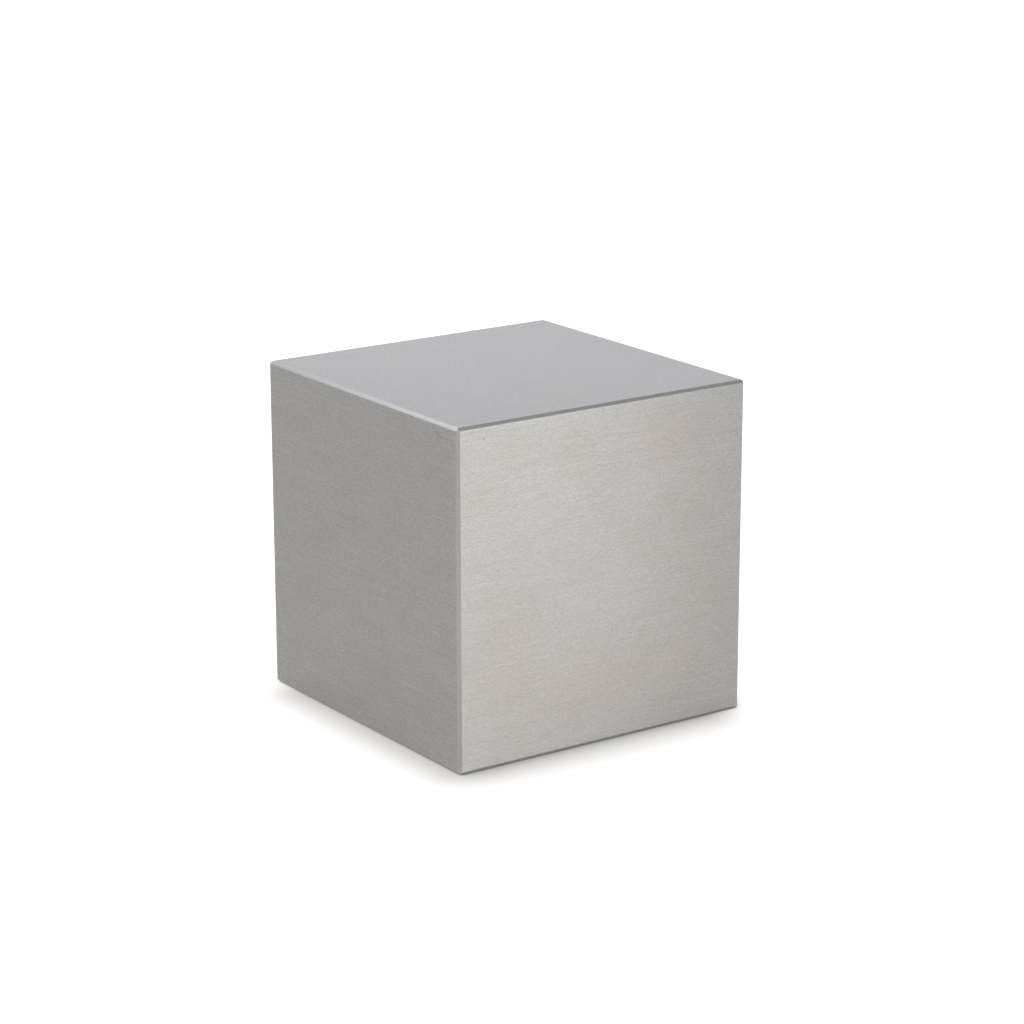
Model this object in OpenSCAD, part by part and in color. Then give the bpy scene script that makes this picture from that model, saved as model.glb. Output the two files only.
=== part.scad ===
// Solid metal desk cube, ground flat on all six faces.
//
// One piece of sintered tungsten heavy alloy. Every edge is broken by the same
// narrow 45 degree chamfer, and three chamfers meet in a mitred point at each
// corner. The part has no hole, seam, joint or marking.
//
// Millimetres. The cube stands on its bottom face, with the origin at that
// face's centre and +Z up.

/* [Cube] */
// Edge length, measured across two opposite flat faces
edge_length = 38.1; // [12.7:0.1:101.6]

/* [Edges] */
// Chamfer leg: how far each face stops short of the sharp edge it would have
chamfer_leg = 0.35; // [0.1:0.05:1.5]

/* [Hidden] */

half_edge = edge_length / 2;

// Half the width of the flat that is left on a face between its two chamfers
half_flat = half_edge - chamfer_leg;

// The bare alloy is a mid grey, a touch warmer than steel
alloy_colour = [0.72, 0.71, 0.70];

// A point of a flat outline, turned about the centre by whole quarter turns
function quarter_turns(point, turns) =
    turns == 0 ? point : quarter_turns([-point.y, point.x], turns - 1);

// The cube's outline along any of its three axes: a square whose four corners
// are cut at 45 degrees. One corner is given, and quarter turns make the rest.
module chamfered_square() {
    one_corner = [[half_edge, half_flat], [half_flat, half_edge]];
    polygon([for (turns = [0 : 3]) for (point = one_corner) quarter_turns(point, turns)]);
}

// A bar of that outline along Z, cut square to the cube's own length. Its four
// long edges are the four chamfers that run along Z.
module chamfered_bar() {
    linear_extrude(height = edge_length, center = true) chamfered_square();
}

// Each bar carries the four chamfers along one axis. What all three bars share
// has all twelve, and at each corner the three chamfer planes cut each other
// in a true mitre, half a chamfer leg in from each face.
module tungsten_cube() {
    color(alloy_colour)
    translate([0, 0, half_edge])
    intersection() {
        chamfered_bar();
        rotate([90, 0, 0]) chamfered_bar();
        rotate([0, 90, 0]) chamfered_bar();
    }
}

tungsten_cube();
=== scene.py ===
# %% [markdown]
# # A ground tungsten cube
#
# This lesson dresses one block of bare metal: a small, very heavy tungsten cube
# that stands on a white table. There is only one piece, so everything rests on
# how its surface is finished: the fine lines that the grinding wheel left, faint
# warm stains, a few specks, and the narrow bright and dark lines of its chamfers.
#
# The cube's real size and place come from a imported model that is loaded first.
# That model is a fixed frame: nothing here moves or resizes it.

# %% Load the frame
import math

import bpy
from mathutils import Euler, Matrix, Vector


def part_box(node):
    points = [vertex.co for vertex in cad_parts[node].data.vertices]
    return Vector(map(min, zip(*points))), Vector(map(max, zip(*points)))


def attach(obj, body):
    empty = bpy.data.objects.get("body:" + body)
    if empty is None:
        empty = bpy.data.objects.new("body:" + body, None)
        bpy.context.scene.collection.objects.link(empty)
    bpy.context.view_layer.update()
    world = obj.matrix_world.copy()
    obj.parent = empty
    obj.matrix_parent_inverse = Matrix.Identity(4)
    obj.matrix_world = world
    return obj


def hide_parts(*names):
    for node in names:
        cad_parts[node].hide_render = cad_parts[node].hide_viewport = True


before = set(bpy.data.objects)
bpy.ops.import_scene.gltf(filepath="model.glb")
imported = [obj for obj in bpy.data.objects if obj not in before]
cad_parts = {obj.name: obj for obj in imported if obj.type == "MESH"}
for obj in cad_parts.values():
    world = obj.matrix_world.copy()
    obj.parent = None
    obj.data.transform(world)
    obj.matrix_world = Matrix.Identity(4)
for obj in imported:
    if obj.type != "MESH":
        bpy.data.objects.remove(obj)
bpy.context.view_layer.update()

# %% [markdown]
# ## Measure the cube
#
# A maker reads the sizes off the part instead of typing them again. The edge
# length is the width of the node's box. The chamfer leg is how far the flat of
# the top face stops short of the cube's side, so it can be read from the corners
# that lie at the very top. Then a change of the model carries through to here.

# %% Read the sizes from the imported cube
CUBE_NODE = "tungsten_cube"
MM = 0.001               # Blender works in metres, and the sizes below are in millimetres
HAIR = 0.001 * MM        # two places closer than this are the same place

low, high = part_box(CUBE_NODE)
edge_length = high.x - low.x
half_edge = edge_length / 2
cube_centre = (low + high) / 2

top_corners = [v.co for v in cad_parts[CUBE_NODE].data.vertices if v.co.z > high.z - HAIR]
half_flat = max(corner.x for corner in top_corners)
chamfer_leg = half_edge - half_flat
print(f"edge {edge_length / MM:.2f} mm, chamfer leg {chamfer_leg / MM:.3f} mm")

# %% [markdown]
# ## The camera
#
# The cube is seen from its front left and a little above, through a long lens
# from about nine edge lengths away. A long lens keeps the upright edges nearly
# parallel. The camera is placed on a sphere round an aim point: azimuth and
# elevation choose the direction, and the roll is the small tilt that a hand-set
# tripod has. The aim point is a little off the cube's centre, so the cube sits
# just left of and below the middle of the view.

# %% Place the camera
AZIMUTH = math.radians(-34.87)
ELEVATION = math.radians(15.88)
ROLL = math.radians(-0.082)
CAMERA_DISTANCE = 9.13 * edge_length
AIM_RIGHT = 0.0235 * edge_length
AIM_UP = 0.0662 * edge_length
LENS = 108.4               # the camera takes its lens and sensor in millimetres
SENSOR_WIDTH = 36.0
NEAREST = 0.01             # it sees nothing closer or farther than these, in metres
FARTHEST = 20.0

camera_data = bpy.data.cameras.new("long_lens")
camera_data.sensor_width = SENSOR_WIDTH
camera_data.lens = LENS
camera_data.clip_start = NEAREST
camera_data.clip_end = FARTHEST
camera = bpy.data.objects.new("camera", camera_data)
bpy.context.collection.objects.link(camera)

level = Euler((math.pi / 2 - ELEVATION, 0, AZIMUTH)).to_matrix()
turned = level @ Matrix.Rotation(ROLL, 3, "Z")
right, up, back = (Vector(turned.col[axis]) for axis in range(3))
aim = cube_centre + right * AIM_RIGHT + up * AIM_UP
camera.matrix_world = Matrix.Translation(aim + back * CAMERA_DISTANCE) @ turned.to_4x4()
bpy.context.scene.camera = camera
print("camera at, mm:", [round(place / MM) for place in camera.matrix_world.translation])

# %% [markdown]
# ## Colour management
#
# The Standard view shows a colour as it is written. The default view would
# compress the light tones, and the metal's grey could not be judged by its value.

# %% Choose the plain view
bpy.context.scene.view_settings.view_transform = "Standard"
print("view:", bpy.context.scene.view_settings.view_transform)

# %% [markdown]
# ## Node helpers
#
# Every finish below is a small network of shader nodes. A few helpers keep them
# readable: one adds a node and fills its sockets, and the others do one sum, make
# a smooth step, or start an empty material. A socket that is given another node's
# output is linked, and a plain value is typed in, as one would do by hand.

# %% Helpers to add nodes
def add_node(material, kind, inputs=None, **settings):
    """A new shader node. inputs maps a socket's name or number to a value or to another node's output."""
    node = material.node_tree.nodes.new(kind)
    for name, value in settings.items():
        setattr(node, name, value)
    for socket, value in (inputs or {}).items():
        if isinstance(value, bpy.types.NodeSocket):
            material.node_tree.links.new(value, node.inputs[socket])
        else:
            node.inputs[socket].default_value = value
    return node


def maths(material, operation, *values):
    """The result of one sum."""
    node = add_node(material, "ShaderNodeMath", dict(enumerate(values)), operation=operation)
    return node.outputs["Value"]


def vector_maths(material, operation, *values):
    """The result of one sum on vectors."""
    node = add_node(material, "ShaderNodeVectorMath", dict(enumerate(values)), operation=operation)
    return node.outputs["Value" if operation == "LENGTH" else "Vector"]


def ramp(material, value, start, end, low_value=0.0, high_value=1.0):
    """A smooth step: low_value up to start, high_value from end on."""
    node = add_node(material, "ShaderNodeMapRange", {
        "Value": value, "From Min": start, "From Max": end, "To Min": low_value, "To Max": high_value,
    }, interpolation_type="SMOOTHSTEP")
    return node.outputs["Result"]


def new_material(name):
    """An empty material with only its output node."""
    material = bpy.data.materials.new(name)
    material.use_nodes = True
    material.node_tree.nodes.clear()
    output = material.node_tree.nodes.new("ShaderNodeOutputMaterial")
    return material, output.inputs["Surface"]

# %% A helper to deselect
def select_none():
    """An operator acts on all that is selected, so nothing may stay selected before it."""
    bpy.ops.object.select_all(action="DESELECT")


# %% A helper for directions
def towards(azimuth, elevation):
    """The direction that many degrees from the front, -Y, round to the right, +X, and up from the table."""
    turn = math.radians(azimuth)
    rise = math.radians(elevation)
    return Vector((math.sin(turn) * math.cos(rise), -math.cos(turn) * math.cos(rise), math.sin(rise)))


# %% [markdown]
# ## The white table
#
# The cube stands on a seamless white table. A disc is enough, if it is so wide
# that its rim lies behind the horizon. Its paint is plain diffuse white, so it
# takes the cube's shadow and lights the cube's sides from below. A little light
# of its own, for the eye only, lifts the paint to clean white, as an overexposed
# studio floor is. Light Path tells which ray is looking, and none of this light
# reaches the cube, apart from the small part that mirrors see.
#
# That glow also lifts the shadow, so two shades are laid over it again.
#
# - The soft shadow. Most of the light comes from above and behind, so the shadow
#   reaches a little towards the viewer. Its shape is the cube's footprint with
#   round corners: the distance past a square core, faded by a bell curve.
# - The dark line in the narrow gap under the chamfers. Ambient Occlusion measures
#   how closed in a point is. Its normal leans to the left, where light gets in
#   under the left edge, so the line is dark only along the front edge.
#
# Both are set to suit the lamps below. They grow with the cube, but they
# don't move when a lamp does, so a change of lamps means setting them again.

# %% Make the table
TABLE_RADIUS = 3.0
TABLE_SIDES = 96
TABLE_DROP = 0.02 * MM     # so that the cube's underside and the table don't share one plane
PAINT_WHITE = (0.797, 0.775, 0.716)
GLOW_FOR_THE_EYE = 0.57
GLOW_IN_MIRRORS = 0.04
LEAST_LIGHT = 0.20         # the share of its light that even the deepest shade keeps

SHADOW_SHIFT = Vector((-0.060, -0.061, 0)) * edge_length
SHADOW_CORE = 0.401 * edge_length          # half the side of the square core
SHADOW_FADE = 0.137 * edge_length
SHADOW_DEPTH = 0.49

GAP_REACH = 0.12 * edge_length
GAP_DEPTH = 2.6
GAP_CURVE = 4.5
GAP_LEAN = math.radians(45)
GAP_LIGHT = towards(252, 0)                # where the light gets into the gap
GAP_RAYS = 16
gap_normal = Vector((0, 0, 1)) * math.cos(GAP_LEAN) + GAP_LIGHT * math.sin(GAP_LEAN)

select_none()
bpy.ops.mesh.primitive_circle_add(
    vertices=TABLE_SIDES, radius=TABLE_RADIUS, fill_type="NGON", location=(0, 0, -TABLE_DROP))
table = bpy.context.object
table.name = "white_table"

paint, paint_surface = new_material("table_paint")
path = add_node(paint, "ShaderNodeLightPath")
to_eye = path.outputs["Is Camera Ray"]
in_mirror = maths(paint, "MAXIMUM", path.outputs["Is Glossy Ray"], path.outputs["Is Transmission Ray"])
eye_or_mirror = maths(paint, "MAXIMUM", to_eye, in_mirror)

place = add_node(paint, "ShaderNodeTexCoord").outputs["Object"]
from_middle = vector_maths(paint, "ABSOLUTE", vector_maths(paint, "SUBTRACT", place, tuple(SHADOW_SHIFT)))
past_core = vector_maths(paint, "SUBTRACT", from_middle, (SHADOW_CORE, SHADOW_CORE, 0))
past_core = vector_maths(paint, "MAXIMUM", past_core, (0, 0, 0))
fades = maths(paint, "DIVIDE", vector_maths(paint, "LENGTH", past_core), SHADOW_FADE)
bell = maths(paint, "EXPONENT", maths(paint, "MULTIPLY", maths(paint, "MULTIPLY", fades, fades), -1.0))
soft_shade = maths(paint, "MULTIPLY", maths(paint, "MULTIPLY", bell, SHADOW_DEPTH), to_eye)

leaning = add_node(paint, "ShaderNodeCombineXYZ", dict(enumerate(gap_normal))).outputs["Vector"]
nearby = add_node(
    paint, "ShaderNodeAmbientOcclusion", {"Distance": GAP_REACH, "Normal": leaning}, samples=GAP_RAYS)
closed_in = maths(paint, "SUBTRACT", 1.0, nearby.outputs["AO"])
gap_shade = maths(paint, "MULTIPLY", maths(paint, "POWER", closed_in, GAP_CURVE), GAP_DEPTH)
gap_shade = maths(paint, "MULTIPLY", gap_shade, eye_or_mirror)

lit_share = maths(paint, "SUBTRACT", 1.0, maths(paint, "ADD", soft_shade, gap_shade))
light_left = maths(paint, "MAXIMUM", lit_share, LEAST_LIGHT)

white = add_node(paint, "ShaderNodeVectorMath", {0: PAINT_WHITE, "Scale": light_left}, operation="SCALE")
diffuse = add_node(paint, "ShaderNodeBsdfDiffuse", {"Color": white.outputs["Vector"]})
eye_glow = maths(paint, "MULTIPLY", maths(paint, "MULTIPLY", to_eye, light_left), GLOW_FOR_THE_EYE)
mirror_glow = maths(paint, "MULTIPLY", in_mirror, GLOW_IN_MIRRORS)
glow = add_node(paint, "ShaderNodeEmission", {"Strength": maths(paint, "ADD", eye_glow, mirror_glow)})
painted = add_node(paint, "ShaderNodeAddShader", {0: diffuse.outputs["BSDF"], 1: glow.outputs["Emission"]})
paint.node_tree.links.new(painted.outputs["Shader"], paint_surface)
table.data.materials.append(paint)
print("table of radius", TABLE_RADIUS, "m")

# %% [markdown]
# ## The light tent
#
# Bare metal has hardly any colour of its own: it shows what stands round it. So
# the room is part of the finish. Small shiny things are often lit in a light
# tent, a bag of white cloth with its lamps outside. Here the world is that
# tent: one level on all sides, with two dark gaps. Without something dark to
# mirror, the faces of a metal cube would all be equally bright and its edges
# would be lost. The gap above on the right makes the right top chamfer dark, and
# the low one behind on the left tones down the left face.
#
# A gap is a soft round spot on the world. The dot product of two directions is
# the cosine of the angle between them, so a ramp on it fades the spot's rim.

# %% Hang the tent
TENT_LEVEL = 1.10
TENT_COLOUR = (0.964, 0.972, 1.036, 1)     # daylight through white cloth, a little cool
EYE_LEVEL = 1.05                           # the eye sees plain white cloth, without the gaps

# Each gap: its middle, the angles at which it begins and is full, and the share of light left in it
UPPER_GAP = (towards(62, 55), 38, 15, 0.08)
LOWER_GAP = (towards(220, 0), 40, 15, 0.22)


def outside_gap(material, direction, middle, rim, full, left):
    """1 outside a gap round the direction middle, and left inside it. rim and full are angles in degrees."""
    closeness = add_node(material, "ShaderNodeVectorMath", {0: direction, 1: middle}, operation="DOT_PRODUCT")
    start = math.cos(math.radians(rim))
    end = math.cos(math.radians(full))
    return ramp(material, closeness.outputs["Value"], start, end, 1.0, left)


world = bpy.data.worlds.new("light_tent")
bpy.context.scene.world = world
world.use_nodes = True
world.node_tree.nodes.clear()
world_output = world.node_tree.nodes.new("ShaderNodeOutputWorld")
direction = add_node(world, "ShaderNodeTexCoord").outputs["Generated"]
upper_gap = outside_gap(world, direction, *UPPER_GAP)
lower_gap = outside_gap(world, direction, *LOWER_GAP)
cloth = maths(world, "MULTIPLY", maths(world, "MULTIPLY", upper_gap, lower_gap), TENT_LEVEL)
seen_by_eye = add_node(world, "ShaderNodeLightPath").outputs["Is Camera Ray"]
level = maths(world, "MAXIMUM", cloth, maths(world, "MULTIPLY", seen_by_eye, EYE_LEVEL))
tent = add_node(world, "ShaderNodeBackground", {"Color": TENT_COLOUR, "Strength": level})
world.node_tree.links.new(tent.outputs["Background"], world_output.inputs["Surface"])
print("tent at level", TENT_LEVEL, "with two dark gaps")

# %% [markdown]
# ## Four soft boxes
#
# Lamps behind the cloth make four patches of it brighter. The low one at the
# front right is what the front face mirrors. It ends where the face's reflections
# begin to miss it, so the face fades towards its right edge. The high one behind
# on the left lights the left top chamfer, and the two behind on the right even out
# the top.
#
# A soft box is set here by how bright its cloth looks, as a world is. Its power
# in watts then follows from its size: radiance times area times pi.

# %% Set up the soft boxes
def soft_box(name, middle, distance, width, height, radiance, colour):
    """A rectangular soft box that faces the cube."""
    lamp = bpy.data.lights.new(name, "AREA")
    lamp.shape = "RECTANGLE"
    lamp.size = width
    lamp.size_y = height
    lamp.energy = radiance * math.pi * width * height
    lamp.color = colour
    box = bpy.data.objects.new(name, lamp)
    bpy.context.collection.objects.link(box)
    facing = middle.to_track_quat("Z", "Y").to_matrix().to_4x4()
    box.matrix_world = Matrix.Translation(cube_centre + middle * distance) @ facing
    box.visible_camera = False
    print(name, "gives", round(lamp.energy, 2), "W")


# Each box: direction, distance, width and height in metres, radiance, colour
SOFT_BOXES = {
    "front_soft_box": (towards(18, 8), 1.00, 0.80, 0.28, 3.35, (1.01, 1.002, 0.98)),
    "back_left_soft_box": (towards(218, 36), 0.60, 0.40, 0.35, 0.50, (0.98, 0.98, 1.0)),
    "back_right_soft_box": (towards(136, 37), 1.20, 0.60, 0.50, 0.45, (0.955, 0.96, 1.025)),
    "high_soft_box": (towards(138, 50), 1.00, 0.50, 0.40, 0.36, (0.955, 0.96, 1.025)),
}
for box_name, box_sizes in SOFT_BOXES.items():
    soft_box(box_name, *box_sizes)

# %% [markdown]
# ## The block
#
# The real block is ground square first, and then each edge is broken by one
# straight pass of a grinding belt at 45 degrees. It is modelled in the same
# order. A cube primitive has the full size, and one bisect per edge takes the
# sharp corner off with a plane. The Bevel tool would be quicker, but at each
# corner it leaves a small triangle. Plane cuts meet in a pointed mitre by
# themselves, which is what three straight passes leave on the metal.
#
# Last, the corners between flats and chamfers lose a hair: no real edge is
# perfectly sharp, and that hair catches a thin line of light.

# %% Cut the chamfers
select_none()
bpy.ops.mesh.primitive_cube_add(size=edge_length, location=cube_centre)
block = bpy.context.object
block.name = "ground_block"
bpy.ops.object.transform_apply(location=True, rotation=False, scale=False)

bpy.ops.object.mode_set(mode="EDIT")
passes = 0
for axis_a, axis_b in ((0, 1), (0, 2), (1, 2)):
    for side_a in (-1, 1):
        for side_b in (-1, 1):
            outwards = Vector((0, 0, 0))
            outwards[axis_a] = side_a
            outwards[axis_b] = side_b
            on_chamfer = Vector(cube_centre)
            on_chamfer[axis_a] += side_a * half_edge
            on_chamfer[axis_b] += side_b * half_flat
            bpy.ops.mesh.select_all(action="SELECT")
            bpy.ops.mesh.bisect(
                plane_co=on_chamfer, plane_no=outwards, use_fill=True, clear_outer=True, threshold=HAIR / 10)
            passes += 1
bpy.ops.mesh.select_all(action="SELECT")
bpy.ops.mesh.remove_doubles(threshold=HAIR)
bpy.ops.mesh.normals_make_consistent(inside=False)
bpy.ops.object.mode_set(mode="OBJECT")
print(passes, "passes leave", len(block.data.polygons), "faces")

# %% Break the last sharp lines
ARRIS = 0.03 * MM
ARRIS_STEPS = 3
SHARP_ANGLE = math.radians(20)             # only edges sharper than this are broken
SMOOTH_ANGLE = math.radians(18)            # and edges flatter than this look smooth

bevel = block.modifiers.new("arris", "BEVEL")
bevel.width = ARRIS
bevel.segments = ARRIS_STEPS
bevel.limit_method = "ANGLE"
bevel.angle_limit = SHARP_ANGLE
bevel.harden_normals = False
bpy.ops.object.modifier_apply(modifier=bevel.name)
bpy.ops.object.shade_smooth_by_angle(angle=SMOOTH_ANGLE)
print("with its broken arrises:", len(block.data.polygons), "faces")

# %% [markdown]
# ## The grain
#
# A grinding wheel leaves short, slightly wavy streaks that all run one way. Noise
# gives them when its coordinates are squeezed: a step along the streaks counts
# for less than the same step across them. Three sizes are laid over each other:
# short fine streaks, longer ones between them, and thin lines that run on for
# several millimetres.
#
# Object coordinates are in metres here, so each layer's length and width are real
# sizes, and the grain stays the same size on every face.

# %% A helper for drawn-out noise
NOISE_ROUGHNESS = 0.6


def drawn_out_noise(material, along, length, width, detail=2.0, wave=0.0, seed=(0, 0, 0)):
    """Noise from 0 to 1 whose spots have that length on the axes in along, and that width on the others."""
    place = add_node(material, "ShaderNodeTexCoord").outputs["Object"]
    squeeze = [1 / (length if axis in along else width) for axis in range(3)]
    mapped = add_node(material, "ShaderNodeMapping", {"Vector": place, "Scale": squeeze, "Location": seed})
    noise = add_node(material, "ShaderNodeTexNoise", {
        "Vector": mapped.outputs["Vector"], "Scale": 1.0, "Detail": detail,
        "Roughness": NOISE_ROUGHNESS, "Distortion": wave})
    return noise.outputs["Fac"]


def swing(material, noise, amount):
    """Noise from 0 to 1 turned into a swing of that amount to either side of 0."""
    centred = maths(material, "SUBTRACT", noise, 0.5)
    return maths(material, "MULTIPLY", centred, 2 * amount)


# %% Lay the grain
FINE_STREAK = (0.15 * MM, 0.05 * MM)      # length and width
LONG_STREAK = (0.60 * MM, 0.10 * MM)
THIN_LINE = (7.0 * MM, 0.06 * MM)
FINE_SWING = 0.70                         # how strongly each of them shows
LONG_SWING = 0.30
THIN_SWING = 0.15


def grain(material, along):
    """The grinding streaks, from 0 to 1 with 0.5 in the middle."""
    fine_noise = drawn_out_noise(material, along, *FINE_STREAK, detail=1.0, wave=0.3, seed=(3, 5, 7))
    long_noise = drawn_out_noise(material, along, *LONG_STREAK, wave=0.4, seed=(6, 1, 2))
    thin_noise = drawn_out_noise(material, along, *THIN_LINE, detail=1.0, seed=(11, 2, 8))
    fine = swing(material, fine_noise, FINE_SWING)
    longer = swing(material, long_noise, LONG_SWING)
    lines = swing(material, thin_noise, THIN_SWING)
    both = maths(material, "ADD", fine, longer)
    return maths(material, "ADD", maths(material, "ADD", both, lines), 0.5)


print("streak widths, mm:", [round(streak[1] / MM, 3) for streak in (FINE_STREAK, LONG_STREAK, THIN_LINE)])

# %% [markdown]
# ## Warm stains, and painted shade on the upright chamfers
#
# Bare tungsten tarnishes a little where it has been touched. The film is so thin
# that it only warms the grey. On the front face it lies in a band along the
# bottom and in clouds at the top right and down the right side, and it leaves the
# middle clean. Those clouds are placed one by one, as shares of the edge length,
# so they would keep their place on a larger cube. Noise makes their rims ragged.
# On the other faces a slow noise decides where a fainter film lies.
#
# The upright chamfers get a painted shade that grows towards the top: their colour
# is made duller there, in uneven patches.

# %% Place the stains and the painted shade
# Each cloud: across from the middle, up from the table, half its width, half its height, strength
FRONT_CLOUDS = (
    (-0.33, 0.29, 0.12, 0.22, 1.0),
    (-0.05, 0.18, 0.40, 0.11, 1.0),
    (0.22, 0.20, 0.22, 0.12, 0.9),
    (0.37, 0.38, 0.11, 0.17, 0.9),
    (0.24, 0.87, 0.16, 0.09, 1.0),
    (0.34, 0.67, 0.16, 0.16, 0.9),
    (0.22, 0.54, 0.13, 0.04, 0.8),
    (0.08, 0.60, 0.055, 0.03, 0.8),
    (0.00, 0.68, 0.03, 0.03, 0.8),
    (-0.04, 0.75, 0.03, 0.03, 0.8),
    (-0.11, 0.87, 0.06, 0.07, 0.9),
    (-0.31, 0.90, 0.05, 0.04, 0.7),
    (-0.40, 0.78, 0.06, 0.05, 0.8),
)
CLOUD_HEART = 0.40                         # a cloud is full inside this share of its radius
CLOUD_RIM = 1.45                           # and gone outside this one
WIDE_RAGS = (3.2 * MM, 2.0 * MM)           # length and width of the raggedness of its rim
NARROW_RAGS = (0.7 * MM, 0.35 * MM)
WIDE_SWING = 1.3
NARROW_SWING = 1.0

FAINT_PATCH = (16 * MM, 11 * MM)
FAINT_FROM = 0.52
FAINT_FULL = 0.72
FAINT_STRENGTH = 0.45

# The painted shade on the upright chamfers: the size of its patches, how far they shift its start, and the
# heights where it begins and is full
TOP_SHADE_PATCH = 6 * MM
TOP_SHADE_SWING = 5 * MM
TOP_SHADE_FROM = 0.35 * edge_length
TOP_SHADE_FULL = 1.05 * edge_length


def cloud(material, share, across, height, half_width, half_height, strength, ragged):
    """One stain on the front face. share is the place as shares of the edge length."""
    from_middle = vector_maths(material, "SUBTRACT", share, (across, 0, height))
    in_radii = vector_maths(material, "MULTIPLY", from_middle, (1 / half_width, 0, 1 / half_height))
    distance = maths(material, "ADD", vector_maths(material, "LENGTH", in_radii), ragged)
    return ramp(material, distance, CLOUD_HEART, CLOUD_RIM, strength, 0.0)


def front_stains(material, along):
    """The placed clouds of the front face, 0 where it is clean."""
    place = add_node(material, "ShaderNodeTexCoord").outputs["Object"]
    share = add_node(
        material, "ShaderNodeVectorMath", {0: place, "Scale": 1 / edge_length}, operation="SCALE")
    wide_noise = drawn_out_noise(material, along, *WIDE_RAGS, detail=3.0, seed=(2, 8, 5))
    narrow_noise = drawn_out_noise(material, along, *NARROW_RAGS, seed=(4, 7, 1))
    wide = swing(material, wide_noise, WIDE_SWING)
    narrow = swing(material, narrow_noise, NARROW_SWING)
    ragged = maths(material, "ADD", wide, narrow)
    stain = 0.0
    for shape in FRONT_CLOUDS:
        stain = maths(material, "MAXIMUM", stain, cloud(material, share.outputs["Vector"], *shape, ragged))
    return stain


def faint_stains(material, along):
    """A fainter film, where slow noise is high."""
    slow = drawn_out_noise(material, along, *FAINT_PATCH, detail=3.0, seed=(9, 4, 6))
    return ramp(material, slow, FAINT_FROM, FAINT_FULL, 0.0, FAINT_STRENGTH)


def painted_top_shade(material, along):
    """Painted shade on the upright chamfers, which grows towards the top."""
    place = add_node(material, "ShaderNodeTexCoord").outputs["Object"]
    height = add_node(material, "ShaderNodeSeparateXYZ", {"Vector": place}).outputs["Z"]
    patches = drawn_out_noise(material, along, TOP_SHADE_PATCH, TOP_SHADE_PATCH, seed=(7, 3, 9))
    uneven = swing(material, patches, TOP_SHADE_SWING)
    return ramp(material, maths(material, "ADD", height, uneven), TOP_SHADE_FROM, TOP_SHADE_FULL)


print(len(FRONT_CLOUDS), "stains placed on the front")

# %% [markdown]
# ## Specks, worn edges and painted edge highlights
#
# A sintered block has a few pores that open when it is ground: dark specks the
# size of a grain of dust. A Voronoi pattern has one point in each cell, and only
# the points of a few cells, chosen by their random colour, become specks.
#
# Next to each arris the metal is rubbed by hands and by the bench, so it is a
# little smoother there, and its colour is a little brighter: partly wear, partly
# a painted highlight along the edge. How far a point lies from the nearest arris
# follows from its place: on a flat face one coordinate is at its full size, and
# the second largest says how near the edge is.

# %% Specks, wear and painted edge highlights
SPECK_CELL = 3.2 * MM
SPECK_SIZE = 0.09 * MM
SPECK_RIM = 1.6                            # a speck has faded out at this many times its size
SPECK_SHARE = 0.10
WEAR_AND_HIGHLIGHT_REACH = 0.30 * MM
WEAR_AND_HIGHLIGHT_PATCH = 0.9 * MM


def specks(material):
    """1 in a pore, 0 elsewhere."""
    place = add_node(material, "ShaderNodeTexCoord").outputs["Object"]
    cells = add_node(material, "ShaderNodeTexVoronoi", {"Vector": place, "Scale": 1 / SPECK_CELL})
    chance = add_node(material, "ShaderNodeSeparateColor", {"Color": cells.outputs["Color"]}).outputs["Red"]
    chosen = maths(material, "LESS_THAN", chance, SPECK_SHARE)
    size = SPECK_SIZE / SPECK_CELL
    dot = ramp(material, cells.outputs["Distance"], size, size * SPECK_RIM, 1.0, 0.0)
    return maths(material, "MULTIPLY", dot, chosen)


def edge_wear_and_highlight(material):
    """1 at an arris, fading to 0 on the flat."""
    place = add_node(material, "ShaderNodeTexCoord").outputs["Object"]
    from_centre = vector_maths(material, "SUBTRACT", place, tuple(cube_centre))
    distances = vector_maths(material, "ABSOLUTE", from_centre)
    split = add_node(material, "ShaderNodeSeparateXYZ", {"Vector": distances})
    x, y, z = split.outputs
    larger_of_two = maths(material, "MAXIMUM", x, y)
    smaller_of_two = maths(material, "MINIMUM", x, y)
    second = maths(material, "MAXIMUM", smaller_of_two, maths(material, "MINIMUM", larger_of_two, z))
    patches = drawn_out_noise(material, (), WEAR_AND_HIGHLIGHT_PATCH, WEAR_AND_HIGHLIGHT_PATCH, seed=(5, 5, 1))
    edge_near = maths(material, "ADD", second, swing(material, patches, WEAR_AND_HIGHLIGHT_REACH))
    return ramp(material, edge_near, half_flat - WEAR_AND_HIGHLIGHT_REACH, half_flat + WEAR_AND_HIGHLIGHT_REACH)


print("wear reaches", round(WEAR_AND_HIGHLIGHT_REACH / MM, 2), "mm in from each arris")

# %% [markdown]
# ## The metal itself
#
# Now the layers come together in one metal. Its colour is the bare grey of
# tungsten, and the layers change it by a few percent. They also change its
# roughness, and as a bump of about a thousandth of a millimetre they tilt it.
#
# Ground metal is anisotropic: across the streaks it scatters light widely, along
# them it stays sharper. The Tangent node gives the direction round an axis, and
# the shader spreads the light along it. So the tangent has to lie across the
# streaks, which takes a quarter turn on the flats.

# %% Make the ground metal
METAL = (0.520, 0.518, 0.500)
WARM_FILM = (1.007, 0.960, 0.944)
# The colour of the painted shade on the upright chamfers
TOP_SHADE_TINT = (0.885, 0.865, 0.845)
PORE = (0.76, 0.76, 0.76)
GRAIN_HEIGHT = 0.0015 * MM
MOTTLE_PATCH = (5.0 * MM, 3.0 * MM)
MOTTLING = 0.035
WEAR_AND_HIGHLIGHT_CHANGE = 0.03                         # the colour is brighter by this share, partly wear and partly a painted highlight, and the roughness lower by as much
ANISOTROPY = 0.9
QUARTER = 0.25                             # the shader counts its turns from 0 to 1

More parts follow.
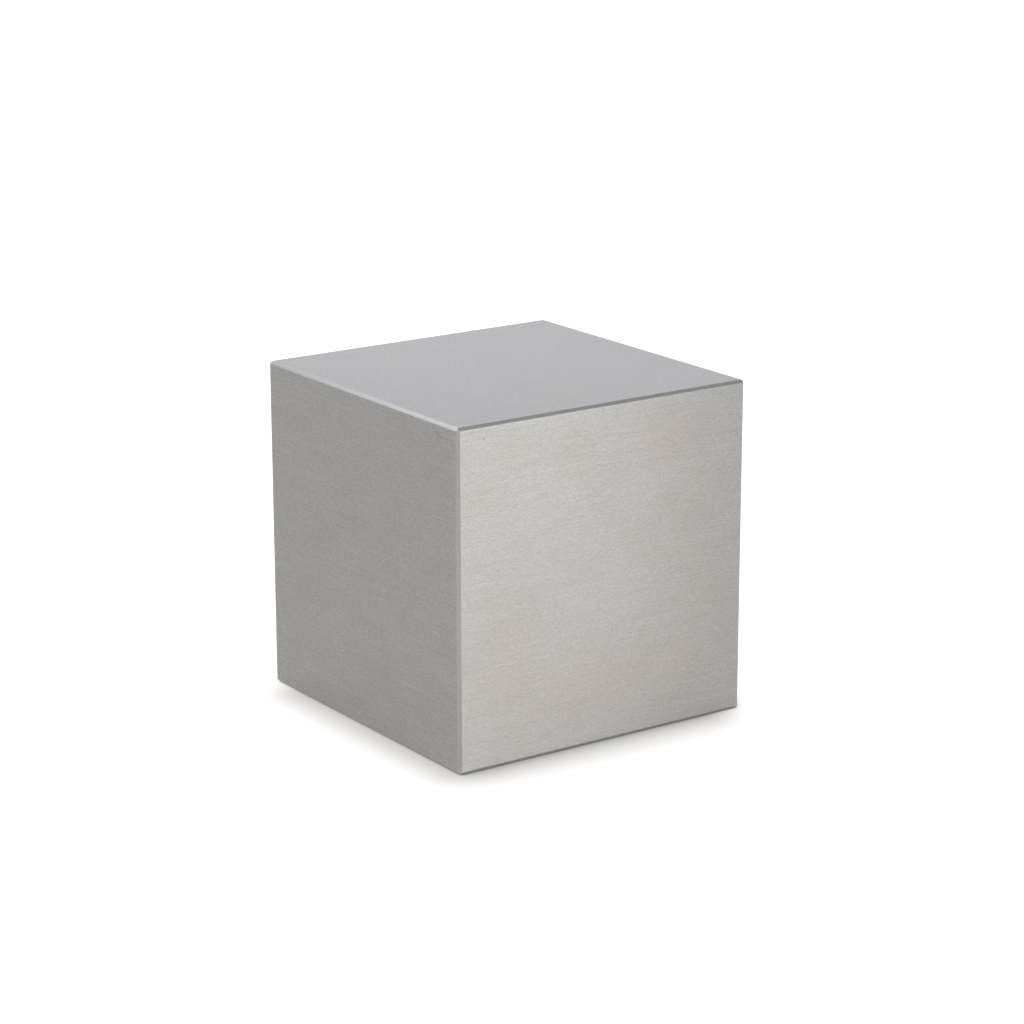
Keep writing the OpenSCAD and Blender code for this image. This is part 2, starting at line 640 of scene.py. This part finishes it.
# The vector sockets of a Mix node are asked for by number, because its other kinds share their names
MIX_FROM = 4
MIX_TO = 5
MIX_RESULT = 1


def tinted(material, colour, amount, tint):
    """The colour itself where amount is 0, and the colour times tint where it is 1."""
    film = add_node(
        material, "ShaderNodeMix", {"Factor": amount, MIX_FROM: (1, 1, 1), MIX_TO: tint}, data_type="VECTOR")
    return vector_maths(material, "MULTIPLY", colour, film.outputs[MIX_RESULT])


def ground_metal(name, along, round_axis, quarter_turn, stains, contrast, roughnesses, film=WARM_FILM):
    """Bare tungsten, ground with its streaks along the given axes."""
    material, surface = new_material(name)
    smoothest, roughest = roughnesses
    streaks = grain(material, along)
    mottling = swing(material, drawn_out_noise(material, along, *MOTTLE_PATCH, seed=(1, 9, 4)), MOTTLING)
    # Next to each arris: a painted highlight together with wear, so the colour is brighter and the roughness
    # lower
    wear_and_highlight = maths(material, "MULTIPLY", edge_wear_and_highlight(material), WEAR_AND_HIGHLIGHT_CHANGE)

    tone = maths(material, "ADD", 1.0, swing(material, streaks, contrast))
    tone = maths(material, "ADD", tone, mottling)
    tone = maths(material, "ADD", tone, wear_and_highlight)
    colour = add_node(material, "ShaderNodeVectorMath", {0: METAL, "Scale": tone}, operation="SCALE")
    colour = colour.outputs["Vector"]
    roughness = ramp(material, streaks, 0.0, 1.0, roughest, smoothest)
    roughness = maths(material, "SUBTRACT", roughness, wear_and_highlight)
    height = streaks
    # On the flats this mask brings real stains, and on the upright chamfers the painted shade that grows
    # towards the top; film is the colour of either
    if stains:
        colour = tinted(material, colour, stains(material, along), film)
        pores = specks(material)
        colour = tinted(material, colour, pores, PORE)
        height = maths(material, "SUBTRACT", streaks, pores)

    bump = add_node(material, "ShaderNodeBump", {"Height": height, "Distance": GRAIN_HEIGHT, "Strength": 1.0})
    tangent = add_node(material, "ShaderNodeTangent", direction_type="RADIAL", axis=round_axis)
    shader = add_node(material, "ShaderNodeBsdfPrincipled", {
        "Base Color": colour,
        "Metallic": 1.0,
        "Roughness": roughness,
        "Anisotropic": ANISOTROPY,
        "Anisotropic Rotation": QUARTER * quarter_turn,
        "Tangent": tangent.outputs["Tangent"],
        "Normal": bump.outputs["Normal"],
    })
    material.node_tree.links.new(shader.outputs["BSDF"], surface)
    return material


# %% One finish for each kind of face
WHEEL = (0.46, 0.52)                       # the smoothest and the roughest that it leaves
BELT = (0.36, 0.42)
BELT_CONTRAST = 0.06

FLATS = [
    ground_metal("ground_front", (0, 1), "Z", 1, front_stains, 0.38, WHEEL),
    ground_metal("ground_sides", (0, 1), "Z", 1, faint_stains, 0.45, WHEEL),
    ground_metal("ground_ends", (0,), "Y", 1, faint_stains, 0.34, WHEEL),
]
CHAMFERS = [
    ground_metal("belt_along_x", (0,), "X", 0, None, BELT_CONTRAST, BELT),
    ground_metal("belt_along_y", (1,), "Y", 0, None, BELT_CONTRAST, BELT),
    # The upright chamfers take the painted shade, darker towards the top, in place of stains
    ground_metal("belt_along_z", (2,), "Z", 0, painted_top_shade, BELT_CONTRAST, BELT, TOP_SHADE_TINT),
]
for material in FLATS + CHAMFERS:
    block.data.materials.append(material)
print("finishes:", [material.name for material in block.data.materials])

# %% Give each face its finish
TILTED = 0.1               # a normal that has more than this of an axis is tilted towards it

slots = [material.name for material in block.data.materials]
for face in block.data.polygons:
    tilted = [axis for axis in range(3) if abs(face.normal[axis]) > TILTED]
    if len(tilted) > 1:
        level_axis = min(range(3), key=lambda axis: abs(face.normal[axis]))
        finish = CHAMFERS[level_axis].name
    elif tilted[0] == 2:
        finish = "ground_ends"
    elif face.normal.y < -TILTED:
        finish = "ground_front"
    else:
        finish = "ground_sides"
    face.material_index = slots.index(finish)
for number, slot in enumerate(slots):
    print(slot, "on", sum(face.material_index == number for face in block.data.polygons), "faces")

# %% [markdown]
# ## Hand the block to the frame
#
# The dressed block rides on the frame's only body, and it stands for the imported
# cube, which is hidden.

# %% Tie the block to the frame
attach(block, "root")
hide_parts(CUBE_NODE)

# %% Update the scene
bpy.context.view_layer.update()
